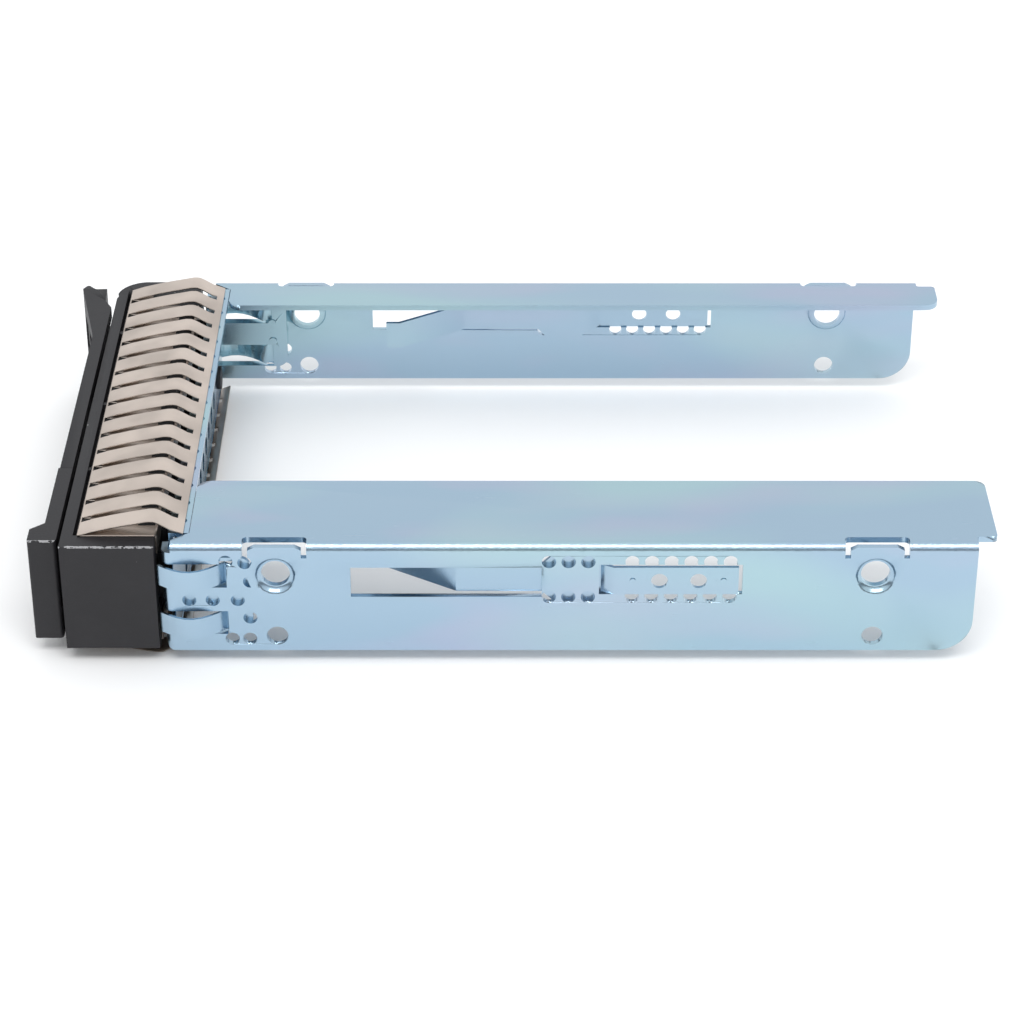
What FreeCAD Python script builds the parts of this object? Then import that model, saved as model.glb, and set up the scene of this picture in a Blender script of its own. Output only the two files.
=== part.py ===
"""Hot swap drive caddy for a 2.5 inch drive: two folded sheet rails with leaf springs, a perforated
cross channel, finger gaskets above and below, and a plastic bezel with a hinged pull handle.

Millimetres. The sizes are laid out from a datum: X from the front drive screw, to the rear;
Y from the middle plane, the near rail at -Y; Z from the rails' lower edge, up. At the end every piece
is moved so that the origin lies at the middle of the underside of the whole part.
"""
import FreeCAD, Part
import math
import os

from FreeCAD import Vector

# Driving dimensions: the rails
outer_width = 73.4
rail_height = 16.0
rail_sheet = 0.8
fold_radius = 1.2
fold_inner_radius = 0.4
wall_front = -14.4
wall_rear = 89.4
wall_rear_corner = 4.5
fold_front = -13.2
flange_front = -10.9
flange_rear = 91.5
near_flange_width = 15.5
far_flange_width = 5.8
flange_front_corner = 1.8
flange_notch_corner = 0.6
near_flange_rear_corner = 1.4
far_flange_rear_corner = 2.1
return_depth = 2.8
return_bottom = 1.0

# The drive's side screws and the marks round them
screw_pitch = 76.6
lower_screw_height = 2.25
screw_row_gap = 9.0
upper_screw_hole = 3.75
lower_screw_hole = 2.75
dimple_mouth = 5.5
dimple_floor = 4.3
dimple_depth = 0.8
dimple_rim = 7.0
slot_length = 8.2
slot_into_flange = 1.7
slot_below_top = 2.0
tab_top_length = 5.1
tab_base_length = 6.8
tab_rise = 0.5

# The windows in each rail's wall
window_a_front = 9.6
window_a_rear = 34.0
window_bottom = 8.2
window_top = 12.6
window_b_front = 41.3
window_b_rear = 59.6
hole_row_low = 8.2
hole_row_high = 13.45
relief_hole = 1.83
relief_pitch = 2.5
relief_a_front = 34.9
relief_a_count = 3
relief_b_front = 45.5
relief_b_count = 6
front_hole = 1.8
front_holes = (
    (-11.1, 7.7),
    (-8.1, 7.7),
    (-4.9, 7.7),
    (-6.2, 13.5),
    (-3.8, 13.3),
    (-3.2, 10.5),
    (-3.4, 5.0),
    (-5.8, 1.8),
    (-3.55, 1.8),
)

# The grounding springs lanced from the front of each rail
lance_rear = -6.2
lance_tip = -14.9
lance_heights = (4.25, 11.35)
lance_width = 2.9
lance_gap = 0.3
lance_bulge = 1.75
lance_joggle = 0.65
lance_sheet = 0.35
lance_steps = 8
lance_root_room = 1.0

# The leaf spring held in each rail
leaf_sheet = 0.5
leaf_height = 4.0
leaf_middle = 10.6
leaf_pad_height = 7.0
leaf_pad_rear = 41.6
leaf_joggle_rear = 43.2
leaf_tongue_rear = 59.1
leaf_bend = 23.1
leaf_slope_length = 9.3
leaf_reach = 5.8
leaf_tip_length = 1.9
leaf_hole = 2.15
leaf_holes = (49.0, 54.0)
leaf_pips = (45.6, 57.2)
pip_diameter = 0.8
pip_height = 0.15

# The cross channel
channel_sheet = 0.6
channel_flange_rear = -11.0
channel_end_inset = 2.9
channel_tab_rear = -3.1
channel_tab_bottom = 2.4
channel_tab_top = 13.6
channel_tab_chamfer = 1.6
channel_corner_relief = 0.5
vent_hole = 2.6
vent_pitch = 4.4
vent_row_gap = 4.0
edge_hole = 1.3
weld_pip_x = -5.2
weld_pip_heights = (6.6, 9.6)

# The finger gaskets
gasket_sheet = 0.2
gasket_near_inset = 2.3
gasket_far_inset = 3.6
finger_count = 16
finger_gap = 1.35
spine_rear = -11.4
spine_run = 1.1
apex_x = -15.3
apex_rise = 3.3
apex_half = 0.6
tip_x = -24.9
base_rear = -14.65
base_rise = 1.75
base_skirt = 2.4
base_window_front = -16.4
base_window_width = 1.9

# The bezel frame
bezel_front = -27.3
bezel_rear = -15.3
bezel_inset = 0.3
bezel_end_wall = 2.8
bezel_top_wall = 2.2
bezel_lip = 1.5
groove_width = 1.4
groove_depth = 1.4
groove_ribs = (-21.6, -6.7, 16.5)
groove_rib_width = 0.7
bezel_corner_x = 3.0
bezel_corner_y = 5.0
grille_depth = 1.6
grille_bar = 1.2
grille_pitch = 5.0
peg_side = 28.5
peg_from_wall = 0.3
peg_diameter = 2.2
peg_shoulder = 3.6
peg_head = 3.4
peg_head_height = 0.6
peg_clearance = 0.05

# The handle and its hinge cover
handle_gap = 0.6
handle_thickness = 1.7
handle_inset = 0.6
handle_near = 1.9
cover_length = 18.3
cover_proud = 0.2
cover_clearance = 0.1
block_depth = 3.7
block_length = 2.9
block_slope = 1.5
seam_gap = 0.1
flare_start = 57.4
flare_tip = 71.6
flare_reach = 3.1
flare_notch = 66.0
flare_neck = 1.25
handle_skin = 0.5
handle_bar = 1.7
handle_window_pitch = 6.0
handle_window_rib = 1.2

# The hinge at the near end
pin_diameter = 1.0
pin_clearance = 0.05
pivot_from_side = 3.6
pivot_depth = 2.5
knuckle_diameter = 2.0
knuckle_below_middle = 1.6
knuckle_above_middle = 3.6
knuckle_clearance = 0.15
neck_offset = 0.3
neck_width = 1.6
cover_back_corner = 0.5
coil_wire = 0.3
coil_pitch = 0.42
coil_turns = 3.0
coil_sections = 12
coil_facets = 8

# The release latch
latch_middle = 13.6
latch_length = 7.0
latch_room = 0.7
latch_stem_length = 6.0
latch_shoulder = 1.0
latch_travel = 2.0
latch_clearance = 0.1
latch_window_gap = 0.15
latch_plate = 2.0
latch_flange = 1.0
latch_spring_space = 6.0
latch_spring_diameter = 2.6
latch_spring_wire = 0.35
latch_spring_turns = 5.0
carrier_margin = 2.6
latch_rib_count = 4
latch_rib_height = 0.3

# The light guides
guide_diameter = 1.8
guide_from_near = (11.0, 16.0)
guide_above_middle = 4.0
guide_rear = -12.4
guide_clearance = 0.05
guide_boss = 3.4

# Values that follow from the driving dimensions
half_width = outer_width / 2
mid_height = rail_height / 2
upper_screw_height = lower_screw_height + screw_row_gap
inner_face = half_width - rail_sheet
bezel_bottom = bezel_inset
bezel_top = rail_height - bezel_inset
hollow_low = bezel_bottom + bezel_top_wall + groove_depth
hollow_high = bezel_top - bezel_top_wall - groove_depth
peg_heights = (hollow_low + peg_from_wall, hollow_high - peg_from_wall)
handle_rear = bezel_front - handle_gap
handle_front = handle_rear - handle_thickness
handle_bottom = handle_inset
handle_top = rail_height - handle_inset
pivot_x = bezel_front - pivot_depth
pivot_y = -half_width + pivot_from_side
knuckle_bottom = mid_height - knuckle_below_middle
knuckle_top = mid_height + knuckle_above_middle
latch_height = hollow_high - hollow_low - 2 * latch_room
latch_stem_height = latch_height - 2 * latch_shoulder
guide_height = mid_height + guide_above_middle
flare_clear = flare_reach + 1
gasket_top = rail_height + apex_rise
part_front = handle_front - flare_reach
origin_x = (part_front + flange_rear) / 2
origin_z = -apex_rise


def box(x0, x1, y0, y1, z0, z1):
    """A block between two corners."""
    return Part.makeBox(x1 - x0, y1 - y0, z1 - z0, Vector(x0, y0, z0))


def rod(centre, direction, diameter, length):
    """A round bar from a point along a direction."""
    return Part.makeCylinder(diameter / 2, length, Vector(*centre), Vector(*direction))


def fuse(shapes):
    """One clean solid from many."""
    return shapes[0].multiFuse(shapes[1:]).removeSplitter()


def cut(shape, tools):
    """A shape less many tools."""
    return shape.cut(Part.makeCompound(tools)).removeSplitter()


def rounded_wire(corners):
    """A closed outline; each corner is (point, radius), and a radius of 0 is sharp."""
    count = len(corners)
    starts = []
    ends = []
    middles = []
    for i in range(count):
        point, radius = corners[i]
        before = (corners[i - 1][0] - point).normalize()
        after = (corners[(i + 1) % count][0] - point).normalize()
        if radius <= 0:
            starts.append(point)
            ends.append(point)
            middles.append(None)
            continue
        half = before.getAngle(after) / 2
        back = radius / math.tan(half)
        inward = (before + after).normalize()
        starts.append(point + before * back)
        ends.append(point + after * back)
        middles.append(point + inward * (radius / math.sin(half) - radius))
    edges = []
    for i in range(count):
        if middles[i] is not None:
            edges.append(Part.Arc(starts[i], middles[i], ends[i]).toShape())
        following = starts[(i + 1) % count]
        if ends[i].distanceToPoint(following) > 1e-6:
            edges.append(Part.LineSegment(ends[i], following).toShape())
    return Part.Wire(edges)


def plate(points, plane, low, high):
    """A flat sheet of the outline (a, b, radius) in plane XY, XZ or YZ, from low to high across it."""
    place = {
        "XY": lambda a, b: Vector(a, b, low),
        "XZ": lambda a, b: Vector(a, low, b),
        "YZ": lambda a, b: Vector(low, a, b),
    }[plane]
    direction = {"XY": Vector(0, 0, 1), "XZ": Vector(0, 1, 0), "YZ": Vector(1, 0, 0)}[plane]
    corners = [(place(a, b), radius) for a, b, radius in points]
    return Part.Face(rounded_wire(corners)).extrude(direction * (high - low))


def ribbon(path, thickness, plane, low, high):
    """A bent sheet: the path is its middle line in the plane, and low to high is its width."""
    count = len(path)
    left = []
    right = []
    for i in range(count):
        ahead = path[min(i + 1, count - 1)]
        behind = path[max(i - 1, 0)]
        here = path[i]
        into = (here[0] - behind[0], here[1] - behind[1]) if i > 0 else (ahead[0] - here[0], ahead[1] - here[1])
        out = (ahead[0] - here[0], ahead[1] - here[1]) if i < count - 1 else into
        size_in = math.hypot(*into)
        size_out = math.hypot(*out)
        normal_in = (-into[1] / size_in, into[0] / size_in)
        normal_out = (-out[1] / size_out, out[0] / size_out)
        blend = (normal_in[0] + normal_out[0], normal_in[1] + normal_out[1])
        spread = math.hypot(*blend)
        unit = (blend[0] / spread, blend[1] / spread)
        reach = thickness / 2 / (unit[0] * normal_in[0] + unit[1] * normal_in[1])
        left.append((here[0] + unit[0] * reach, here[1] + unit[1] * reach, 0))
        right.append((here[0] - unit[0] * reach, here[1] - unit[1] * reach, 0))
    return plate(left + right[::-1], plane, low, high)


def near_side(shape):
    """Place a piece drawn with y as the distance in from the near rail's outer face."""
    moved = shape.copy()
    moved.translate(Vector(0, -half_width, 0))
    return moved


def far_side(shape):
    """Place the mirrored piece at the far rail."""
    mirrored = shape.mirror(Vector(0, 0, 0), Vector(0, 1, 0))
    mirrored.translate(Vector(0, half_width, 0))
    return mirrored


def lower_half(shape):
    """The same piece turned over to the underside."""
    return shape.mirror(Vector(0, 0, mid_height), Vector(0, 0, 1))


# Rails: y is the distance in from the outer face


def rail_wall():
    """The upright wall with its short return round the front end."""
    top = rail_height - fold_radius
    wall = plate(
        [
            (wall_front, 0, fold_radius),
            (wall_rear, 0, 0),
            (wall_rear, rail_sheet, 0),
            (wall_front + rail_sheet, rail_sheet, fold_inner_radius),
            (wall_front + rail_sheet, return_depth, 0),
            (wall_front, return_depth, 0),
        ],
        "XY",
        0,
        top,
    )
    side = plate(
        [
            (wall_front, 0, return_bottom),
            (wall_rear, 0, wall_rear_corner),
            (wall_rear, top, 0),
            (wall_front, top, 0),
        ],
        "XZ",
        -1,
        return_depth + 1,
    )
    return wall.common(side)


def rail_fold():
    """The quarter bend between wall and flange."""
    top = rail_height
    inner = fold_radius - rail_sheet
    sketch = [
        Part.LineSegment(Vector(fold_front, 0, top - fold_radius), Vector(fold_front, rail_sheet, top - fold_radius)),
        Part.Arc(
            Vector(fold_front, rail_sheet, top - fold_radius),
            Vector(
                fold_front,
                fold_radius - inner * math.cos(math.pi / 4),
                top - fold_radius + inner * math.sin(math.pi / 4),
            ),
            Vector(fold_front, fold_radius, top - rail_sheet),
        ),
        Part.LineSegment(Vector(fold_front, fold_radius, top - rail_sheet), Vector(fold_front, fold_radius, top)),
        Part.Arc(
            Vector(fold_front, fold_radius, top),
            Vector(
                fold_front,
                fold_radius * (1 - math.cos(math.pi / 4)),
                top - fold_radius * (1 - math.sin(math.pi / 4)),
            ),
            Vector(fold_front, 0, top - fold_radius),
        ),
    ]
    face = Part.Face(Part.Wire([item.toShape() for item in sketch]))
    return face.extrude(Vector(wall_rear - fold_front, 0, 0))


def rail_flange(width, rear_corner):
    """The flat top flange, with its neck at the front and its overhang at the rear."""
    neck = fold_radius + flange_front_corner
    main = plate(
        [
            (flange_front, fold_radius, 0),
            (wall_rear, fold_radius, 0),
            (wall_rear, neck, 0.4),
            (flange_rear, neck, flange_notch_corner),
            (flange_rear, width, rear_corner),
            (flange_front, width, flange_front_corner),
        ],
        "XY",
        rail_height - rail_sheet,
        rail_height,
    )
    root = plate(
        [
            (fold_front, fold_radius, 0),
            (flange_front, fold_radius, 0),
            (flange_front, neck, 0),
        ],
        "XY",
        rail_height - rail_sheet,
        rail_height,
    )
    return fuse([main, root])


def dimple(x):
    """The pressed cup round an upper drive screw hole, revolved about the hole."""
    z = upper_screw_height
    section = [
        (dimple_rim / 2, 0),
        (dimple_mouth / 2, 0),
        (dimple_floor / 2, dimple_depth),
        (upper_screw_hole / 2, dimple_depth),
        (upper_screw_hole / 2, dimple_depth + rail_sheet),
        (dimple_floor / 2 + rail_sheet / 3, dimple_depth + rail_sheet),
        (dimple_mouth / 2 + rail_sheet / 3, rail_sheet),
        (dimple_rim / 2, rail_sheet),
    ]
    points = [Vector(x + r, y, z) for r, y in section]
    face = Part.Face(Part.makePolygon(points + points[:1]))
    return face.revolve(Vector(x, 0, z), Vector(0, 1, 0), 360)


def wall_tab(x):
    """The small tab that stands up from the wall in a slot of the fold."""
    base = rail_height - slot_below_top
    top = rail_height + tab_rise
    chamfer = (tab_base_length - tab_top_length) / 2
    return plate(
        [
            (x - tab_base_length / 2, base, 0),
            (x + tab_base_length / 2, base, 0),
            (x + tab_base_length / 2, top - chamfer, 0),
            (x + tab_top_length / 2, top, 0),
            (x - tab_top_length / 2, top, 0),
            (x - tab_base_length / 2, top - chamfer, 0),
        ],
        "XZ",
        0,
        rail_sheet,
    )


def fold_slot(x):
    """The rounded slot through the fold beside a tab."""
    return plate(
        [
            (x - slot_length / 2, -1, 0),
            (x + slot_length / 2, -1, 0),
            (x + slot_length / 2, fold_radius + slot_into_flange, 0.6),
            (x - slot_length / 2, fold_radius + slot_into_flange, 0.6),
        ],
        "XY",
        rail_height - slot_below_top,
        rail_height + 1,
    )


def wall_hole(x, z, diameter):
    """A drill through the wall."""
    return rod((x, -1, z), (0, 1, 0), diameter, rail_sheet + 2)


def relief_rows(front, count):
    """Two rows of small holes, above and below a window."""
    holes = []
    for i in range(count):
        for z in (hole_row_low, hole_row_high):
            holes.append(wall_hole(front + i * relief_pitch, z, relief_hole))
    return holes


def lance_path():
    """The bowed middle line of a grounding spring, from its root forward."""
    root = lance_rear + 0.6
    path = [(root, rail_sheet / 2), (lance_rear - 0.3, rail_sheet / 2 + lance_joggle)]
    start = lance_rear - 0.3
    for i in range(1, lance_steps + 1):
        part_way = i / lance_steps
        x = start + (lance_tip - start) * part_way
        level = rail_sheet / 2 + lance_joggle * (1 - part_way)
        bow = (lance_bulge + rail_sheet / 2) * math.sin(math.pi * part_way)
        path.append((x, level - bow))
    return path


def lance_spring(z):
    """One bowed grounding spring at a height."""
    return ribbon(lance_path(), lance_sheet, "XY", z - lance_width / 2, z + lance_width / 2)


def lance_opening(z):
    """The opening that a grounding spring was lanced from."""
    low = z - lance_width / 2 - lance_gap
    high = z + lance_width / 2 + lance_gap
    return box(wall_front - 1, lance_rear, -1, return_depth + 1, low, high)


def rail(flange_width, rear_corner):
    """A whole rail, folded from one sheet."""
    body = fuse([rail_wall(), rail_fold(), rail_flange(flange_width, rear_corner)])
    tools = []
    for x in (0, screw_pitch):
        tools.append(wall_hole(x, upper_screw_height, dimple_rim))
        tools.append(wall_hole(x, lower_screw_height, lower_screw_hole))
        tools.append(fold_slot(x))
    for x, z in front_holes:
        tools.append(wall_hole(x, z, front_hole))
    for z in lance_heights:
        tools.append(lance_opening(z))
    tools.append(box(window_a_front, window_a_rear, -1, rail_sheet + 1, window_bottom, window_top))
    tools.append(box(window_b_front, window_b_rear, -1, rail_sheet + 1, window_bottom + 0.4, hole_row_high - 0.4))
    tools.extend(relief_rows(relief_a_front, relief_a_count))
    tools.extend(relief_rows(relief_b_front, relief_b_count))
    body = cut(body, tools)
    added = [body]
    for x in (0, screw_pitch):
        added.append(dimple(x))
        added.append(wall_tab(x))
    for z in lance_heights:
        added.append(lance_spring(z))
    return fuse(added)


# Leaf springs: y is the distance in from the rail's outer face


def leaf_spring():
    """The arm, the pad behind the wall and the tongue in the rear window, one strip."""
    behind = rail_sheet + leaf_sheet / 2
    flush = leaf_sheet / 2
    low = leaf_middle - leaf_height / 2
    high = leaf_middle + leaf_height / 2
    slope_end = leaf_bend - leaf_slope_length
    path = [
        (leaf_tongue_rear, flush),
        (leaf_joggle_rear, flush),
        (leaf_pad_rear, behind),
        (leaf_bend, behind),
        (slope_end, behind + leaf_reach),
        (slope_end - leaf_tip_length, behind + leaf_reach),
    ]
    strip = ribbon(path, leaf_sheet, "XY", low, high)
    pad_low = leaf_middle - leaf_pad_height / 2
    pad_high = leaf_middle + leaf_pad_height / 2
    corner = (leaf_pad_height - leaf_height) / 2
    pad = plate(
        [
            (window_a_rear, low, 0),
            (window_a_rear + corner, pad_low, 0),
            (leaf_pad_rear - corner, pad_low, 0),
            (leaf_pad_rear, low, 0),
            (leaf_pad_rear, high, 0),
            (leaf_pad_rear - corner, pad_high, 0),
            (window_a_rear + corner, pad_high, 0),
            (window_a_rear, high, 0),
        ],
        "XZ",
        rail_sheet,
        rail_sheet + leaf_sheet,
    )
    pips = [rod((x, -pip_height, leaf_middle), (0, 1, 0), pip_diameter, leaf_sheet) for x in leaf_pips]
    holes = [rod((x, -1, leaf_middle), (0, 1, 0), leaf_hole, leaf_sheet + 2) for x in leaf_holes]
    return cut(fuse([strip, pad] + pips), holes)


# Cross channel


def channel_tab():
    """The tab that lies on a rail's inner face, with windows behind the grounding springs."""
    front = wall_front + rail_sheet
    tab = plate(
        [
            (front, channel_tab_bottom, 0),
            (channel_tab_rear, channel_tab_bottom, channel_tab_chamfer),
            (channel_tab_rear, channel_tab_top, channel_tab_chamfer),
            (front, channel_tab_top, 0),
        ],
        "XZ",
        rail_sheet,
        rail_sheet + channel_sheet,
    )
    windows = []
    for z in lance_heights:
        low = z - lance_width / 2 - lance_gap
        high = z + lance_width / 2 + lance_gap
        windows.append(box(front + channel_sheet, lance_rear + lance_root_room, 0, rail_sheet + 2, low, high))
    tab = cut(tab, windows)
    pips = []
    for z in weld_pip_heights:
        pips.append(rod((weld_pip_x, rail_sheet, z), (0, 1, 0), 1.2, channel_sheet + 0.2))
    return fuse([tab] + pips)


def beside_guide(y):
    """Whether a vent at this width would run into a light guide's hole."""
    room = (vent_hole + guide_diameter) / 2 + 0.3
    return any(abs(y + half_width - distance) < room for distance in guide_from_near)


def cross_channel():
    """The perforated web between the rails, its two flanges and its two side tabs."""
    front = wall_front + rail_sheet
    back = front + channel_sheet
    side = inner_face
    flange_side = half_width - channel_end_inset
    web = box(front, back, -side, side, return_bottom + 1.2, rail_height - fold_radius - 1.0)
    core = box(front, back, -flange_side, flange_side, 0, rail_height)
    top = box(front, channel_flange_rear, -flange_side, flange_side, rail_height - channel_sheet, rail_height)
    body = fuse([web, core, top, lower_half(top), near_side(channel_tab()), far_side(channel_tab())])
    relief = plate(
        [
            (front - 1, rail_sheet + channel_corner_relief + 1, 0),
            (front - 1, rail_sheet - 1, 0),
            (front + channel_corner_relief + 1, rail_sheet - 1, 0),
        ],
        "XY",
        -1,
        rail_height + 1,
    )
    tools = [near_side(relief), far_side(relief)]
    columns = int((flange_side - vent_hole) / vent_pitch)
    for i in range(-columns, columns + 1):
        y = i * vent_pitch
        tools.append(rod((channel_flange_rear - 1.1, y, -1), (0, 0, 1), edge_hole, rail_height + 2))
        if abs(abs(y) - peg_side) < (peg_shoulder + vent_hole) / 2:
            continue
        for row in (-1, 0, 1):
            if row == 1 and beside_guide(y):
                continue
            z = mid_height + row * vent_row_gap
            tools.append(rod((front - 1, y, z), (1, 0, 0), vent_hole, channel_sheet + 2))
    for y in (-peg_side, peg_side):
        for z in peg_heights:
            tools.append(rod((front - 1, y, z), (1, 0, 0), peg_diameter + 2 * peg_clearance, channel_sheet + 2))
    for distance in guide_from_near:
        y = -half_width + distance
        tools.append(rod((front - 1, y, guide_height), (1, 0, 0), guide_diameter + 2 * guide_clearance, 4))
    return cut(body, tools)


# Finger gaskets


def gasket():
    """The top strip: a rear spine, bowed fingers, and the base sheet under them, one folded strip."""
    near = -half_width + gasket_near_inset
    far = half_width - gasket_far_inset
    half = gasket_sheet / 2
    spine_level = rail_height + half
    apex_level = rail_height + apex_rise - half
    slope = (apex_level - spine_level) / (spine_rear - apex_x)
    front_slope = (apex_level - spine_level) / (apex_x - tip_x)
    fingers = [
        (spine_rear, spine_level),
        (apex_x + apex_half, apex_level - apex_half * slope),
        (apex_x, apex_level),
        (apex_x - apex_half, apex_level - apex_half * front_slope),
        (tip_x, spine_level),
    ]
    sheet = ribbon(fingers, gasket_sheet, "XZ", near, far)
    pitch = (far - near) / finger_count
    slots = []
    for i in range(finger_count):
        y = near + i * pitch
        slots.append(box(tip_x - 1, spine_rear - spine_run, y, y + finger_gap, spine_level + 0.12, gasket_top + 1))
    sheet = cut(sheet, slots)
    base_path = [
        (tip_x, spine_level),
        (base_rear, spine_level + base_rise),
        (base_rear + gasket_sheet, spine_level + base_rise - base_skirt),
    ]
    base = ribbon(base_path, gasket_sheet, "XZ", near, far)
    windows = []
    for i in range(finger_count):
        y = near + i * pitch + finger_gap / 2
        windows.append(
            box(
                base_window_front,
                base_rear - 0.25,
                y - base_window_width / 2,
                y + base_window_width / 2,
                rail_height,
                gasket_top,
            )
        )
    return fuse([sheet, cut(base, windows)])


# Bezel frame


def bezel_shell():
    """The outer frame with its open middle and its grooves above and below."""
    outline = [
        (bezel_front, -half_width, 0),
        (bezel_rear, -half_width, 0),
        (bezel_rear, half_width, 0),
        (bezel_front + bezel_corner_x, half_width, 1.5),
        (bezel_front, half_width - bezel_corner_y, 1.5),
    ]
    body = plate(outline, "XY", bezel_bottom, bezel_top)
    inner = half_width - bezel_end_wall
    hollow = box(
        bezel_front + grille_depth,
        bezel_rear + 1,
        -inner,
        inner,
        hollow_low,
        hollow_high,
    )
    groove = box(
        bezel_front + bezel_lip,
        bezel_front + bezel_lip + groove_width,
        -inner,
        inner,
        bezel_top - groove_depth,
        bezel_top + 1,
    )
    body = cut(body, [hollow, groove, lower_half(groove)])
    ribs = []
    for y in groove_ribs:
        rib = box(
            bezel_front + bezel_lip,
            bezel_front + bezel_lip + groove_width,
            y - groove_rib_width / 2,
            y + groove_rib_width / 2,
            bezel_top - groove_depth,
            bezel_top - 0.3,
        )
        ribs.extend([rib, lower_half(rib)])
    return fuse([body] + ribs)


def grille_openings():
    """The vent slots through the bezel's front, clear of the latch carrier and the hinge."""
    openings = []
    low = hollow_low
    high = hollow_high
    inner = half_width - bezel_end_wall
    count = int(2 * (inner - grille_bar) / grille_pitch)
    carrier_low = latch_slot_low() - carrier_margin
    carrier_high = latch_slot_high() + carrier_margin
    solid_near = -half_width + guide_from_near[-1] + guide_boss / 2
    for i in range(count):
        y = (i - (count - 1) / 2) * grille_pitch
        y0 = y - (grille_pitch - grille_bar) / 2
        y1 = y + (grille_pitch - grille_bar) / 2
        if y0 < solid_near or (y1 > carrier_low and y0 < carrier_high):
            continue
        openings.append(box(bezel_front - 1, bezel_front + grille_depth + 1, y0, y1, low, high))
    return openings


def latch_slot_low():
    """The near end of the slot that the latch slides in."""
    return latch_middle - latch_stem_length / 2 - latch_spring_space


def latch_slot_high():
    """The far end of the slot, where the latch stops."""
    return latch_middle + latch_stem_length / 2 + latch_clearance


def bezel_frame():
    """The bezel with its grille, latch carrier, hinge knuckle, light guide bosses and pegs."""
    body = bezel_shell()
    low = hollow_low
    high = hollow_high
    carrier = box(
        bezel_front,
        bezel_front + latch_plate,
        latch_slot_low() - carrier_margin,
        latch_slot_high() + carrier_margin,
        low - 0.5,
        high + 0.5,
    )
    knuckle = rod((pivot_x, pivot_y, knuckle_bottom), (0, 0, 1), knuckle_diameter, knuckle_top - knuckle_bottom)
    neck = box(
        pivot_x,
        bezel_front + 0.5,
        pivot_y + neck_offset,
        pivot_y + neck_offset + neck_width,
        knuckle_bottom,
        knuckle_top,
    )
    added = [body, carrier, knuckle, neck]
    for distance in guide_from_near:
        y = -half_width + distance
        added.append(rod((bezel_front + 0.5, y, guide_height), (1, 0, 0), guide_boss, bezel_rear - bezel_front - 0.5))
    web_front = wall_front + rail_sheet
    for y in (-peg_side, peg_side):
        for z in peg_heights:
            length = web_front - bezel_rear
            added.append(rod((bezel_rear - 3, y, z), (1, 0, 0), peg_shoulder, length + 3))
            added.append(rod((web_front, y, z), (1, 0, 0), peg_diameter, channel_sheet))
            added.append(rod((web_front + channel_sheet, y, z), (1, 0, 0), peg_head, peg_head_height))
    body = fuse(added)
    stem_z = latch_stem_height / 2 + latch_clearance
    tools = grille_openings()
    tools.append(
        box(
            bezel_front - 1,
            bezel_front + latch_plate + 1,
            latch_slot_low(),
            latch_slot_high(),
            mid_height - stem_z,
            mid_height + stem_z,
        )
    )
    pin_hole = pin_diameter + 2 * pin_clearance
    tools.append(rod((pivot_x, pivot_y, knuckle_bottom - 1), (0, 0, 1), pin_hole, knuckle_top - knuckle_bottom + 2))
    for distance in guide_from_near:
        y = -half_width + distance
        tools.append(
            rod((bezel_front - 1, y, guide_height), (1, 0, 0), guide_diameter + 2 * guide_clearance, 20)
        )
    return cut(body, tools)


# Handle


def handle_outline():
    """The handle seen from above, beyond the seam."""
    seam = -half_width + handle_near + cover_length + seam_gap
    tip = handle_front - flare_reach
    return [
        (handle_rear, seam, 0),
        (handle_front, seam, 0),
        (handle_front, -half_width + flare_start, 6.0),
        (tip, -half_width + flare_tip - 1.2, 0.3),
        (tip + 0.7, -half_width + flare_tip, 0.3),
        (tip + 1.9, -half_width + flare_tip - 1.3, 0.6),
        (handle_rear - flare_neck, -half_width + flare_tip - 1.2, 0),
        (handle_rear - flare_neck + 0.2, -half_width + flare_notch + 2.0, 1.2),
        (handle_rear, -half_width + flare_notch, 0),
    ]


def handle():
    """The pull handle: the long front strip with its vents and the flared, open pull tip."""
    body = plate(handle_outline(), "XY", handle_bottom, handle_top)
    seam = -half_width + handle_near + cover_length + seam_gap
    root = hinge_root()
    tools = []
    low = handle_bottom + handle_bar
    high = handle_top - handle_bar
    y = seam + 4.0
    last = -half_width + flare_start - 2.0
    latch_low = latch_middle - latch_length / 2 - latch_travel - latch_window_gap * 2
    latch_high = latch_middle + latch_length / 2 + latch_window_gap
    while y + handle_window_pitch - handle_window_rib < last:
        y1 = y + handle_window_pitch - handle_window_rib
        if y1 < latch_low - 1 or y > latch_high + 1:
            tools.append(box(handle_front - 1, handle_rear + 1, y, y1, low, high))
        y += handle_window_pitch
    window_z = latch_height / 2 + latch_window_gap * 2
    tools.append(
        box(handle_front - 1, handle_rear + 1, latch_low, latch_high, mid_height - window_z, mid_height + window_z)
    )
    flare_low = -half_width + flare_start + 1.5
    flare_high = -half_width + flare_notch + 1.0
    middle = (flare_low + flare_high) / 2
    rib = handle_window_rib / 2
    for z0, z1 in ((low, mid_height - rib), (mid_height + rib, high)):
        tools.append(box(handle_front - flare_clear, handle_rear + 1, flare_low, middle - rib, z0, z1))
        tools.append(box(handle_front - flare_clear, handle_rear + 1, middle + rib, flare_high, z0, z1))
    return cut(fuse([body, root]), tools)


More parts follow.
